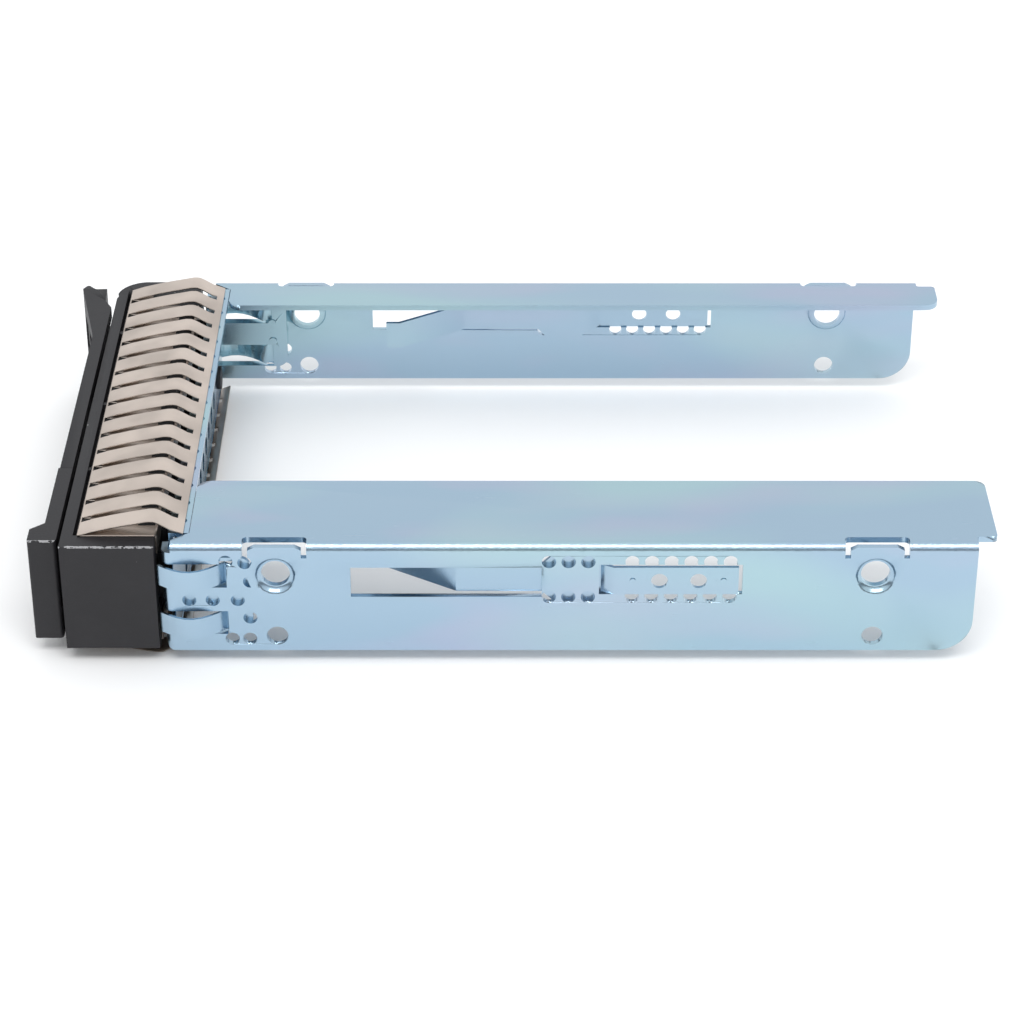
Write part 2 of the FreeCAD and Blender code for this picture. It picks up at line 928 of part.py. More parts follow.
def hinge_root():
    """The handle's own eye round the hinge pin, in two lugs under the cover, and the web to the strip."""
    seam = -half_width + handle_near + cover_length + seam_gap
    lug_front = handle_front - cover_proud + handle_skin + cover_clearance
    lugs = []
    spans = (
        (handle_bottom + handle_skin + cover_clearance, knuckle_bottom - knuckle_clearance - coil_space()),
        (knuckle_top + knuckle_clearance, handle_top - handle_skin - cover_clearance),
    )
    for low, high in spans:
        lugs.append(rod((pivot_x, pivot_y, low), (0, 0, 1), knuckle_diameter, high - low))
        lugs.append(box(lug_front, handle_rear, pivot_y, seam + 0.5, low, high))
    tie = box(
        lug_front,
        handle_rear,
        pivot_y + neck_offset + neck_width + knuckle_clearance,
        seam + 0.5,
        handle_bottom + handle_skin + cover_clearance,
        handle_top - handle_skin - cover_clearance,
    )
    body = fuse(lugs + [tie])
    hole = pin_diameter
    tools = [rod((pivot_x, pivot_y, -1), (0, 0, 1), hole, rail_height + 2)]
    for distance in guide_from_near:
        y = -half_width + distance
        tools.append(rod((lug_front - 1, y, guide_height), (1, 0, 0), guide_diameter + 0.6, 4))
    return cut(body, tools)


def coil_space():
    """The height that the handle spring takes on the pin."""
    return coil_turns * coil_pitch + 2 * coil_wire


def cover_outline(inset):
    """The hinge cover seen from above; inset gives its inner wall."""
    near = -half_width + handle_near
    seam = near + cover_length
    front = handle_front - cover_proud
    block_front = handle_rear - block_depth
    return [
        (handle_rear, near + inset, max(cover_back_corner - inset, 0)),
        (handle_rear, seam, 0),
        (front + inset, seam, 0),
        (front + inset, near + block_length + block_slope, 0),
        (block_front + inset, near + block_length, 0.3),
        (block_front + inset, near + inset, 0.3),
    ]


def hinge_cover():
    """The cap over the hinge end of the handle, open at its back and toward the seam."""
    body = plate(cover_outline(0), "XY", handle_bottom, handle_top)
    skin = handle_skin
    hollow = plate(cover_outline(skin), "XY", handle_bottom + skin, handle_top - skin)
    inside = []
    for item in (hollow,):
        inside.append(item)
        shifted = item.copy()
        shifted.translate(Vector(1, 0, 0))
        inside.append(shifted)
    tools = inside
    for distance in guide_from_near:
        y = -half_width + distance
        tools.append(rod((handle_front - 2, y, guide_height), (1, 0, 0), guide_diameter, 4))
    return cut(body, tools)


def hinge_pin():
    """The steel pin through the knuckle and the handle's two eyes."""
    low = handle_bottom + handle_skin + cover_clearance
    high = handle_top - handle_skin - cover_clearance
    return rod((pivot_x, pivot_y, low), (0, 0, 1), pin_diameter, high - low)


def coil(radius, wire, pitch, turns):
    """A helical spring standing on the origin along Z, lofted through sections along its helix."""
    sections = []
    steps = int(turns * coil_sections)
    lead = math.atan2(pitch, 2 * math.pi * radius)
    for i in range(steps + 1):
        angle = 2 * math.pi * i / coil_sections
        section = Part.makePolygon(
            [
                Vector(
                    radius + wire / 2 * math.cos(2 * math.pi * k / coil_facets),
                    0,
                    wire / 2 * math.sin(2 * math.pi * k / coil_facets),
                )
                for k in range(coil_facets + 1)
            ]
        )
        section.rotate(Vector(0, 0, 0), Vector(1, 0, 0), math.degrees(lead))
        section.rotate(Vector(0, 0, 0), Vector(0, 0, 1), math.degrees(angle))
        section.translate(Vector(0, 0, pitch * i / coil_sections))
        sections.append(section)
    return Part.makeLoft(sections, True, True)


def handle_spring():
    """The torsion spring round the pin, below the knuckle."""
    radius = pin_diameter / 2 + coil_wire / 2 + 0.1
    spring = coil(radius, coil_wire, coil_pitch, coil_turns)
    bottom = knuckle_bottom - coil_space() + coil_wire / 2
    spring.translate(Vector(pivot_x, pivot_y, bottom))
    return spring


# Release latch


def release_latch():
    """The thumb pad in the handle's window, its stem through the carrier and the flange behind."""
    pad_front = handle_front
    pad_rear = bezel_front - latch_clearance
    pad = plate(
        [
            (latch_middle - latch_length / 2, mid_height - latch_height / 2, 0.5),
            (latch_middle + latch_length / 2, mid_height - latch_height / 2, 0.5),
            (latch_middle + latch_length / 2, mid_height + latch_height / 2, 0.5),
            (latch_middle - latch_length / 2, mid_height + latch_height / 2, 0.5),
        ],
        "YZ",
        pad_front,
        pad_rear,
    )
    stem_rear = bezel_front + latch_plate + latch_clearance
    stem = box(
        pad_rear - 0.2,
        stem_rear + 0.2,
        latch_middle - latch_stem_length / 2,
        latch_middle + latch_stem_length / 2,
        mid_height - latch_stem_height / 2,
        mid_height + latch_stem_height / 2,
    )
    flange = box(
        stem_rear,
        stem_rear + latch_flange,
        latch_middle - latch_stem_length / 2,
        latch_middle + latch_stem_length / 2,
        mid_height - latch_height / 2,
        mid_height + latch_height / 2,
    )
    ribs = []
    for i in range(latch_rib_count):
        y = latch_middle + (i - (latch_rib_count - 1) / 2) * 1.4
        ribs.append(
            box(
                pad_front - latch_rib_height,
                pad_front + 0.1,
                y - 0.25,
                y + 0.25,
                mid_height - latch_height / 2 + 1,
                mid_height + latch_height / 2 - 1,
            )
        )
    return fuse([pad, stem, flange] + ribs)


def latch_spring():
    """The coil in the carrier's slot that pushes the latch to its far stop."""
    free = latch_spring_space - latch_spring_wire - 0.1
    spring = coil(
        (latch_spring_diameter - latch_spring_wire) / 2,
        latch_spring_wire,
        free / latch_spring_turns,
        latch_spring_turns,
    )
    spring.rotate(Vector(0, 0, 0), Vector(1, 0, 0), -90)
    middle_x = bezel_front + latch_plate / 2
    spring.translate(Vector(middle_x, latch_slot_low() + latch_spring_wire / 2 + 0.05, mid_height))
    return spring


def light_guide(distance):
    """A clear rod from the bezel's face to the back of the channel."""
    y = -half_width + distance
    start = bezel_front + 0.2
    return rod((start, y, guide_height), (1, 0, 0), guide_diameter, guide_rear - start)


def main():
    """Build every piece, move it to the origin and write it."""
    os.makedirs("parts", exist_ok=True)
    top_gasket = gasket()
    pieces = {
        "near_rail": near_side(rail(near_flange_width, near_flange_rear_corner)),
        "far_rail": far_side(rail(far_flange_width, far_flange_rear_corner)),
        "near_leaf_spring": near_side(leaf_spring()),
        "far_leaf_spring": far_side(leaf_spring()),
        "cross_channel": cross_channel(),
        "top_gasket": top_gasket,
        "bottom_gasket": lower_half(top_gasket),
        "bezel_frame": bezel_frame(),
        "handle": handle(),
        "hinge_cover": hinge_cover(),
        "hinge_pin": hinge_pin(),
        "handle_spring": handle_spring(),
        "release_latch": release_latch(),
        "latch_spring": latch_spring(),
        "activity_light_guide": light_guide(guide_from_near[0]),
        "status_light_guide": light_guide(guide_from_near[1]),
    }
    for name, shape in pieces.items():
        shape.translate(Vector(-origin_x, 0, -origin_z))
        shape.exportStep(f"parts/{name}.step")
        size = shape.BoundBox
        print(
            f"{name}: {len(shape.Solids)} solid, valid {shape.isValid()}, volume {shape.Volume:.2f}, "
            f"X {size.XMin:.2f} {size.XMax:.2f} Y {size.YMin:.2f} {size.YMax:.2f} Z {size.ZMin:.2f} {size.ZMax:.2f}"
        )


main()
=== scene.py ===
"""Looks of the hot swap drive caddy: zinc plated rails, sprung finger gaskets and a charcoal plastic bezel.

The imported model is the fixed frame. Each sub-assembly is a class that dresses its own nodes and builds
the pieces that its looks need. Lengths are in metres unless a name ends in _mm.
"""

import logging
import math
from collections.abc import Callable, Iterable
from dataclasses import dataclass, field
from enum import Enum

import bmesh
import bpy
from mathutils import Euler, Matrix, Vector

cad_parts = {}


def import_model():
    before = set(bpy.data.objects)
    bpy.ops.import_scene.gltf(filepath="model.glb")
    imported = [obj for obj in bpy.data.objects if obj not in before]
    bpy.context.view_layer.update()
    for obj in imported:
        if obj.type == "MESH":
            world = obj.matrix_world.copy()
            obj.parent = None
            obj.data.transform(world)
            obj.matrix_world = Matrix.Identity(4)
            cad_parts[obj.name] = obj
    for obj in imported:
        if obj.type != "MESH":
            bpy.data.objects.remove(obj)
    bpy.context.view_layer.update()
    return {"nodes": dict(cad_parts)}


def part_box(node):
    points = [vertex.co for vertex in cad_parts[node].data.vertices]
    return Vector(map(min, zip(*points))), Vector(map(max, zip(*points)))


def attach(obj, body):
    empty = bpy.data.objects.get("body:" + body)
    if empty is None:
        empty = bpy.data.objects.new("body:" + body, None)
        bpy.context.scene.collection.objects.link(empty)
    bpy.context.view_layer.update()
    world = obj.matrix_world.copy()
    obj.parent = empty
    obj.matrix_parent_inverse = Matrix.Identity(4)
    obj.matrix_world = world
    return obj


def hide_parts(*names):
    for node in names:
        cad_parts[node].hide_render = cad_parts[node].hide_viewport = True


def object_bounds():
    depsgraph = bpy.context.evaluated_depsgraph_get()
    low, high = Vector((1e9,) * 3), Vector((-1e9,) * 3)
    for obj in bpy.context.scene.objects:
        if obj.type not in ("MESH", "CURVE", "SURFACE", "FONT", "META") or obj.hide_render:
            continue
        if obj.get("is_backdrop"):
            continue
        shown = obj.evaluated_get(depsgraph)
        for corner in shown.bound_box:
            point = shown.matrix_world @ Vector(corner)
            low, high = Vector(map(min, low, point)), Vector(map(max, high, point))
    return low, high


MM = 0.001
LOG = logging.getLogger("drive_caddy")
Colour = tuple[float, float, float, float]
Triple = tuple[float, float, float]
Span = tuple[float, float]
BLACK: Colour = (0.0, 0.0, 0.0, 1.0)
WHITE: Colour = (1.0, 1.0, 1.0, 1.0)
BUMP_REACH = 0.0002


class Slot(Enum):
    """The record's material slots."""

    ZINC = "zinc_sheet"
    SPRING = "spring_steel"
    GASKET = "gasket_metal"
    BEZEL = "bezel_plastic"
    HANDLE = "handle_plastic"
    LATCH = "latch_plastic"
    PIN = "pin_steel"
    GUIDE = "guide_plastic"


# Shader helpers


class Graph:
    """A small wrapper that adds and links nodes in one tree."""

    def __init__(self, tree: bpy.types.NodeTree) -> None:
        """Keep the tree.

        Args:
            tree: the node tree to build in.
        """
        self.tree = tree

    def add(self, kind: str, **values: object) -> bpy.types.Node:
        """Add one node.

        Args:
            kind: the node's type name.
            values: attributes, or inputs where the name is an input's.

        Returns:
            The new node.
        """
        node = self.tree.nodes.new(kind)
        for name, value in values.items():
            if hasattr(node, name):
                setattr(node, name, value)
            else:
                node.inputs[name.replace("_", " ")].default_value = value
        return node

    def link(self, source: bpy.types.NodeSocket, target: bpy.types.NodeSocket) -> None:
        """Join an output to an input."""
        self.tree.links.new(source, target)

    def feed(self, socket: bpy.types.NodeSocket, value: object) -> None:
        """Link a socket into an input, or set the input where the value is a constant."""
        if isinstance(value, bpy.types.NodeSocket):
            self.link(value, socket)
        else:
            socket.default_value = value

    def place(self) -> bpy.types.NodeSocket:
        """Add the object's own coordinates."""
        return self.add("ShaderNodeTexCoord").outputs["Object"]

    def parts(self, vector: bpy.types.NodeSocket) -> bpy.types.NodeOutputs:
        """Split a vector into its X, Y and Z."""
        node = self.add("ShaderNodeSeparateXYZ")
        self.link(vector, node.inputs["Vector"])
        return node.outputs

    def scaled(self, vector: bpy.types.NodeSocket, scale: Triple) -> bpy.types.NodeSocket:
        """Scale coordinates along each axis."""
        node = self.add("ShaderNodeMapping", Scale=scale)
        self.link(vector, node.inputs["Vector"])
        return node.outputs["Vector"]

    def noise(
        self, vector: bpy.types.NodeSocket, scale: float, detail: float = 3.0, rough: float = 0.5
    ) -> bpy.types.NodeSocket:
        """Add a noise texture.

        Args:
            vector: the coordinates.
            scale: how fine the noise is, per metre.
            detail: octaves.
            rough: how strong the fine octaves are.

        Returns:
            The noise value.
        """
        node = self.add("ShaderNodeTexNoise", Scale=scale, Detail=detail, Roughness=rough)
        self.link(vector, node.inputs["Vector"])
        return node.outputs["Fac"]

    def ramp(self, value: bpy.types.NodeSocket, stops: list[tuple[float, Colour]]) -> bpy.types.NodeSocket:
        """Map a value to colours.

        Args:
            value: the factor.
            stops: pairs of place and colour.

        Returns:
            The colour.
        """
        node = self.add("ShaderNodeValToRGB")
        elements = node.color_ramp.elements
        while len(elements) < len(stops):
            elements.new(0.5)
        for element, (place, colour) in zip(elements, stops):
            element.position = place
            element.color = colour
        self.link(value, node.inputs["Fac"])
        return node.outputs["Color"]

    def fade(self, value: bpy.types.NodeSocket, span: Span) -> bpy.types.NodeSocket:
        """Fade from black to white over a span of a value."""
        return self.ramp(value, [(span[0], BLACK), (span[1], WHITE)])

    def math(self, operation: str, first: object, second: object = 0.0) -> bpy.types.NodeSocket:
        """Add a maths node.

        Args:
            operation: its operation.
            first: a socket or a number.
            second: a socket or a number.

        Returns:
            The value.
        """
        node = self.add("ShaderNodeMath", operation=operation)
        for socket, value in zip(node.inputs, (first, second)):
            self.feed(socket, value)
        return node.outputs[0]

    def product(self, first: object, *others: object) -> bpy.types.NodeSocket:
        """Multiply two or more values."""
        for other in others:
            first = self.math("MULTIPLY", first, other)
        return first

    def mix(self, factor: object, first: object, second: object) -> bpy.types.NodeSocket:
        """Mix two colours.

        Args:
            factor: a socket or a number.
            first: a socket or a colour.
            second: a socket or a colour.

        Returns:
            The mixed colour.
        """
        node = self.add("ShaderNodeMix", data_type="RGBA", blend_type="MIX")
        for name, value in (("Factor_Float", factor), ("A_Color", first), ("B_Color", second)):
            self.feed(next(item for item in node.inputs if item.identifier == name), value)
        return next(item for item in node.outputs if item.identifier == "Result_Color")


def new_group(
    name: str, inputs: dict[str, float | Colour], outputs: Iterable[tuple[str, str]]
) -> tuple[bpy.types.NodeTree, Graph]:
    """Start a shader node group with named sockets.

    Args:
        name: the group's name.
        inputs: socket names with their usual values.
        outputs: pairs of socket name and socket type.

    Returns:
        The group and a graph over it.
    """
    group = bpy.data.node_groups.new(name, "ShaderNodeTree")
    for label, value in inputs.items():
        kind = "NodeSocketColor" if isinstance(value, tuple) else "NodeSocketFloat"
        socket = group.interface.new_socket(label, in_out="INPUT", socket_type=kind)
        socket.default_value = value
    for label, kind in outputs:
        group.interface.new_socket(label, in_out="OUTPUT", socket_type=kind)
    return group, Graph(group)


SURFACE_SOCKETS = (
    ("Color", "NodeSocketColor"),
    ("Roughness", "NodeSocketFloat"),
    ("Height", "NodeSocketFloat"),
)


@dataclass(frozen=True)
class PassivationEffect:
    """Zinc passivation: slow clouds of violet and green, drawn streaks, and a grain coarser on the fold."""

    cloud_stretch: Triple = (0.35, 1.0, 1.0)
    violet_scale: float = 95.0
    violet_fade: Span = (0.5, 0.68)
    green_scale: float = 61.0
    green_fade: Span = (0.5, 0.66)
    streak_stretch: Triple = (1.0, 14.0, 14.0)
    streak_scale: float = 180.0
    grain_scale: float = 5200.0
    speck_scale: float = 1500.0
    speck_share: float = 0.5
    fold_scale: float = 2600.0
    fold_height: float = 9.0
    fold_y: float = 0.0354
    fold_z: float = 0.0179

    def build(self) -> bpy.types.NodeTree:
        """Build the node group, with a colour, a roughness and a height."""
        inputs = {"Base": WHITE, "Violet": WHITE, "Green": WHITE, "Tint": 0.5}
        inputs.update({"Rough Low": 0.25, "Rough High": 0.4, "Fold Y": self.fold_y, "Fold Z": self.fold_z})
        group, graph = new_group("zinc_passivation", inputs, SURFACE_SOCKETS)
        given = graph.add("NodeGroupInput").outputs
        leave = graph.add("NodeGroupOutput")
        place = graph.place()

        clouds = graph.scaled(place, self.cloud_stretch)
        violet = graph.fade(graph.noise(clouds, self.violet_scale, 2.0, 0.45), self.violet_fade)
        green = graph.fade(graph.noise(clouds, self.green_scale, 1.0, 0.4), self.green_fade)
        colour = graph.mix(graph.product(violet, given["Tint"]), given["Base"], given["Violet"])
        colour = graph.mix(graph.product(green, given["Tint"]), colour, given["Green"])

        streak = graph.noise(graph.scaled(place, self.streak_stretch), self.streak_scale, 3.0, 0.6)
        spread = graph.math("SUBTRACT", given["Rough High"], given["Rough Low"])
        rough = graph.math("ADD", given["Rough Low"], graph.product(spread, streak))

        parts = graph.parts(place)
        outer = graph.math("GREATER_THAN", graph.math("ABSOLUTE", parts["Y"]), given["Fold Y"])
        upper = graph.math("GREATER_THAN", parts["Z"], given["Fold Z"])
        on_fold = graph.product(outer, upper, graph.noise(place, self.fold_scale, 2.0, 0.7), self.fold_height)
        grain = graph.product(graph.noise(place, self.grain_scale, 3.0, 0.6), 1.0 - self.speck_share)
        speck = graph.product(graph.noise(place, self.speck_scale, 2.0, 0.5), self.speck_share)
        height = graph.math("ADD", graph.math("ADD", grain, speck), on_fold)

        for name, value in (("Color", colour), ("Roughness", rough), ("Height", height)):
            graph.link(value, leave.inputs[name])
        return group


@dataclass(frozen=True)
class MouldedEffect:
    """Moulded plastic: a spark-eroded grain, faint scuffs and pale dust specks in patches."""

    grain_scale: float = 4200.0
    scuff_scale: float = 160.0
    scuff_fade: Span = (0.42, 0.75)
    scuff_strength: float = 0.55
    scuff_rough: float = 0.08
    speck_scale: float = 620.0
    speck_radius: float = 0.07
    speck_chance: float = 0.62
    speck_strength: float = 0.8
    patch_scale: float = 110.0
    patch_level: float = 0.53

    def build(self) -> bpy.types.NodeTree:
        """Build the node group, with a colour, a roughness and a height."""
        inputs = {"Base": BLACK, "Scuff": BLACK, "Speck": WHITE, "Rough": 0.6}
        group, graph = new_group("moulded_plastic", inputs, SURFACE_SOCKETS)
        given = graph.add("NodeGroupInput").outputs
        leave = graph.add("NodeGroupOutput")
        place = graph.place()

        scuff = graph.fade(graph.noise(place, self.scuff_scale, 3.0, 0.6), self.scuff_fade)
        dots = graph.add("ShaderNodeTexVoronoi", Scale=self.speck_scale)
        graph.link(place, dots.inputs["Vector"])
        cell = graph.add("ShaderNodeSeparateColor")
        graph.link(dots.outputs["Color"], cell.inputs["Color"])
        near = graph.math("LESS_THAN", dots.outputs["Distance"], self.speck_radius)
        where = graph.math("GREATER_THAN", graph.noise(place, self.patch_scale, 1.0, 0.5), self.patch_level)
        chosen = graph.math("GREATER_THAN", cell.outputs["Red"], self.speck_chance)
        speck = graph.product(near, where, chosen)

        colour = graph.mix(graph.product(scuff, self.scuff_strength), given["Base"], given["Scuff"])
        colour = graph.mix(graph.product(speck, self.speck_strength), colour, given["Speck"])
        rough = graph.math("ADD", given["Rough"], graph.product(scuff, self.scuff_rough))
        grain = graph.noise(place, self.grain_scale, 2.0, 0.6)
        for name, value in (("Color", colour), ("Roughness", rough), ("Height", grain)):
            graph.link(value, leave.inputs[name])
        return group


@dataclass(frozen=True)
class EdgeHighlightEffect:
    """A painted highlight along one straight moulded edge that runs along X: a broken pale line where the
    edge catches the key light.
    """

    width: float = 0.0002
    ragged_scale: float = 2400.0
    broken_scale: float = 900.0
    broken_level: float = 0.47

    def build(self) -> bpy.types.NodeTree:
        """Build the node group, with a mask."""
        inputs = {"Edge Y": 0.0, "Edge Z": 0.0, "Width": self.width}
        group, graph = new_group("painted_edge_highlight", inputs, (("Mask", "NodeSocketFloat"),))
        given = graph.add("NodeGroupInput").outputs
        leave = graph.add("NodeGroupOutput")
        place = graph.place()
        parts = graph.parts(place)
        across = graph.math("ABSOLUTE", graph.math("SUBTRACT", parts["Y"], given["Edge Y"]))
        below = graph.math("ABSOLUTE", graph.math("SUBTRACT", parts["Z"], given["Edge Z"]))
        ragged = graph.product(graph.noise(place, self.ragged_scale, 3.0, 0.7), 2.0, given["Width"])
        line = graph.math("LESS_THAN", graph.math("ADD", across, below), ragged)
        gaps = graph.noise(place, self.broken_scale, 3.0, 0.7)
        broken = graph.math("GREATER_THAN", gaps, self.broken_level)
        graph.link(graph.product(line, broken), leave.inputs["Mask"])
        return group


def plain_material(name: str) -> tuple[bpy.types.Material, Graph, bpy.types.Node]:
    """Start a node material.

    Args:
        name: the material's name.

    Returns:
        The material, a graph over its tree and its shader.
    """
    material = bpy.data.materials.new(name)
    material.use_nodes = True
    return material, Graph(material.node_tree), material.node_tree.nodes["Principled BSDF"]


def add_effect(
    graph: Graph, effect: bpy.types.NodeTree, values: dict[str, float | Colour]
) -> bpy.types.NodeOutputs:
    """Add an effect's group to a material.

    Args:
        graph: the material's graph.
        effect: the group.
        values: what its inputs are set to.

    Returns:
        The group's outputs.
    """
    node = graph.add("ShaderNodeGroup")
    node.node_tree = effect
    for label, value in values.items():
        node.inputs[label].default_value = value
    return node.outputs


def add_bump(graph: Graph, shader: bpy.types.Node, height: bpy.types.NodeSocket, strength: float) -> None:
    """Feed a height to the shader's normal.

    Args:
        graph: the material's graph.
        shader: its shader.
        height: the height value.
        strength: how strong the bump is.
    """
    bump = graph.add("ShaderNodeBump", Strength=strength, Distance=BUMP_REACH)
    graph.link(height, bump.inputs["Height"])
    graph.link(bump.outputs["Normal"], shader.inputs["Normal"])


# Finishes


@dataclass(frozen=True)
class ZincFinish:
    """Zinc plating with a pale blue passivation."""

    name: str = "zinc_sheet"
    base: Colour = (0.376, 0.512, 0.632, 1.0)
    violet: Colour = (0.45, 0.50, 0.64, 1.0)
    green: Colour = (0.42, 0.60, 0.64, 1.0)
    tint: float = 0.8
    rough: Span = (0.2, 0.3)
    metallic: float = 1.0
    bump: float = 0.05

    def make(self, passivation: bpy.types.NodeTree) -> bpy.types.Material:
        """Build the material.

        Args:
            passivation: the passivation effect.

        Returns:
            The finished material.
        """
        material, graph, shader = plain_material(self.name)
        values = {"Base": self.base, "Violet": self.violet, "Green": self.green, "Tint": self.tint}
        values.update({"Rough Low": self.rough[0], "Rough High": self.rough[1]})
        effect = add_effect(graph, passivation, values)
        graph.link(effect["Color"], shader.inputs["Base Color"])
        graph.link(effect["Roughness"], shader.inputs["Roughness"])
        add_bump(graph, shader, effect["Height"], self.bump)
        shader.inputs["Metallic"].default_value = self.metallic
        return material


@dataclass(frozen=True)
class SteelFinish:
    """Bare strip or ground steel with a fine drawn grain."""

    name: str
    base: Colour
    rough: float
    rough_spread: float = 0.12
    metallic: float = 0.9
    bump: float = 0.05
    grain_scale: float = 900.0
    stretch: Triple = (1.0, 6.0, 1.0)
    cloud_scale: float = 140.0
    cloud_fade: Span = (0.35, 0.65)
    cloud_shades: Span = (0.82, 1.08)

    def shade(self, share: float) -> Colour:
        """Give the base colour, darker or lighter by a share."""
        red, green, blue = (min(value * share, 1.0) for value in self.base[:3])
        return red, green, blue, 1.0

    def make(self) -> bpy.types.Material:
        """Build the material.

        Returns:
            The finished material.
        """
        material, graph, shader = plain_material(self.name)
        place = graph.place()
        grain = graph.noise(graph.scaled(place, self.stretch), self.grain_scale, 3.0, 0.6)
        cloud = graph.noise(place, self.cloud_scale, 2.0, 0.5)
        stops = [(level, self.shade(share)) for level, share in zip(self.cloud_fade, self.cloud_shades)]
        graph.link(graph.ramp(cloud, stops), shader.inputs["Base Color"])
        rough = graph.math("ADD", self.rough - self.rough_spread / 2, graph.product(grain, self.rough_spread))
        graph.link(rough, shader.inputs["Roughness"])
        add_bump(graph, shader, grain, self.bump)
        shader.inputs["Metallic"].default_value = self.metallic
        return material


@dataclass(frozen=True)
class PlasticFinish:
    """Charcoal moulded plastic, with a painted highlight along one edge."""

    name: str
    base: Colour = (0.014, 0.0135, 0.016, 1.0)
    scuff: Colour = (0.026, 0.025, 0.028, 1.0)
    speck: Colour = (0.42, 0.42, 0.42, 1.0)
    # colour of the painted highlight along the edge
    highlight_colour: Colour = (0.36, 0.36, 0.37, 1.0)
    rough: float = 0.5
    bump: float = 0.12
    gloss: float = 0.4
    edge_y: float = 0.0
    edge_z: float = -1.0

    def make(self, moulded: bpy.types.NodeTree, edge_highlight: bpy.types.NodeTree) -> bpy.types.Material:
        """Build the material.

        Args:
            moulded: the moulded effect.
            edge_highlight: the effect that paints a highlight along the edge.

        Returns:
            The finished material.
        """
        material, graph, shader = plain_material(self.name)
        values = {"Base": self.base, "Scuff": self.scuff, "Speck": self.speck, "Rough": self.rough}
        effect = add_effect(graph, moulded, values)
        edge = add_effect(graph, edge_highlight, {"Edge Y": self.edge_y, "Edge Z": self.edge_z})
        # paint a broken pale highlight line along the edge
        graph.link(graph.mix(edge["Mask"], effect["Color"], self.highlight_colour), shader.inputs["Base Color"])
        graph.link(effect["Roughness"], shader.inputs["Roughness"])
        add_bump(graph, shader, effect["Height"], self.bump)
        shader.inputs["Specular IOR Level"].default_value = self.gloss
        return material


@dataclass(frozen=True)
class ClearFinish:
    """Clear moulded plastic of the light guides."""

    name: str = "guide_plastic"
    tint: Colour = (0.90, 0.94, 0.92, 1.0)
    haze_scale: float = 700.0
    rough: float = 0.12
    rough_spread: float = 0.15
    clearness: float = 0.85
    ior: float = 1.49

    def make(self) -> bpy.types.Material:
        """Build the material.

        Returns:
            The finished material.
        """
        material, graph, shader = plain_material(self.name)
        haze = graph.noise(graph.place(), self.haze_scale, 2.0, 0.5)
        rough = graph.math("ADD", self.rough, graph.product(haze, self.rough_spread))
        graph.link(rough, shader.inputs["Roughness"])
        shader.inputs["Base Color"].default_value = self.tint
        shader.inputs["Transmission Weight"].default_value = self.clearness
        shader.inputs["IOR"].default_value = self.ior
        return material


class Finishes:
    """Every material of the caddy, by slot."""

    def __init__(self) -> None:
        """Build the effects and the materials."""
        passivation = PassivationEffect().build()
        moulded = MouldedEffect().build()
        # this effect paints a highlight along the top near edges of the bezel and the hinge cover
        edge_highlight = EdgeHighlightEffect().build()
        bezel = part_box("bezel_frame")
        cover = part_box("hinge_cover")
        gasket_base, pin_base = (0.60, 0.52, 0.46, 1.0), (0.62, 0.62, 0.63, 1.0)
        plastics = {
            Slot.BEZEL: PlasticFinish("bezel_plastic", edge_y=bezel[0][1], edge_z=bezel[1][2]),
            Slot.HANDLE: PlasticFinish("handle_plastic", edge_y=cover[0][1], edge_z=cover[1][2]),
            Slot.LATCH: PlasticFinish("latch_plastic", rough=0.45),
        }
        self.by_slot: dict[Slot, bpy.types.Material] = {
            Slot.ZINC: ZincFinish().make(passivation),
            Slot.SPRING: ZincFinish(name="spring_steel", tint=0.35).make(passivation),
            Slot.GASKET: SteelFinish("gasket_metal", gasket_base, 0.36, stretch=(6.0, 1.0, 1.0)).make(),
            Slot.PIN: SteelFinish("pin_steel", pin_base, 0.25).make(),
            Slot.GUIDE: ClearFinish().make(),
        }
        self.by_slot.update((slot, finish.make(moulded, edge_highlight)) for slot, finish in plastics.items())

    def dress(self, piece: bpy.types.Object, slot: Slot) -> None:
        """Give a piece one material all over.

        Args:
            piece: the object.
            slot: the record's slot.
        """
        piece.data.materials.clear()
        piece.data.materials.append(self.by_slot[slot])


# Mesh helpers

SHARP_BEND_DEGREES = 32.0
MERGE_DISTANCE = 1e-6
SLIVER_LENGTH = 2e-5


def finish_piece(
    shape: bmesh.types.BMesh, name: str, body: str, replaced: str, sharp_degrees: float = SHARP_BEND_DEGREES
) -> bpy.types.Object:
    """Turn a bmesh into a smooth shaded piece that stands for a node.

    Args:
        shape: the mesh in work.
        name: the piece's name.
        body: the body that it rides on.
        replaced: the node that it stands for.
        sharp_degrees: the bend above which an edge shows sharp.

    Returns:
        The piece.
    """
    mesh = bpy.data.meshes.new(name)
    for face in shape.faces:
        face.smooth = True
    shape.to_mesh(mesh)
    shape.free()
    mesh.set_sharp_from_angle(angle=math.radians(sharp_degrees))
    piece = bpy.data.objects.new(name, mesh)
    bpy.context.scene.collection.objects.link(piece)
    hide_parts(replaced)
    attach(piece, body)
    return piece


def even_shading(piece: bpy.types.Object) -> None:
    """Weight the normals by face area, so that flat sheet stays flat beside its bends."""
    weigh = piece.modifiers.new("even_shading", "WEIGHTED_NORMAL")
    weigh.keep_sharp = True


def merged_copy(node: bpy.types.Object) -> bmesh.types.BMesh:
    """Open a merged copy of a node's mesh, leaving the node alone.

    Args:
        node: the node.

    Returns:
        The copy in work.
    """
    shape = bmesh.new()
    shape.from_mesh(node.data)
    bmesh.ops.remove_doubles(shape, verts=shape.verts, dist=MERGE_DISTANCE)
    return shape


def shift(shape: bmesh.types.BMesh, chosen: Callable[[Vector], bool], step: Triple) -> None:
    """Move the vertices that a test picks.

    Args:
        shape: the mesh in work.
        chosen: the test on a vertex's place.
        step: how far they move, in millimetres.
    """
    verts = [vert for vert in shape.verts if chosen(vert.co)]
    bmesh.ops.translate(shape, verts=verts, vec=Vector(step) * MM)


REAR_FROM_SCREW_MM = 91.5
OPEN_MM = 1000.0


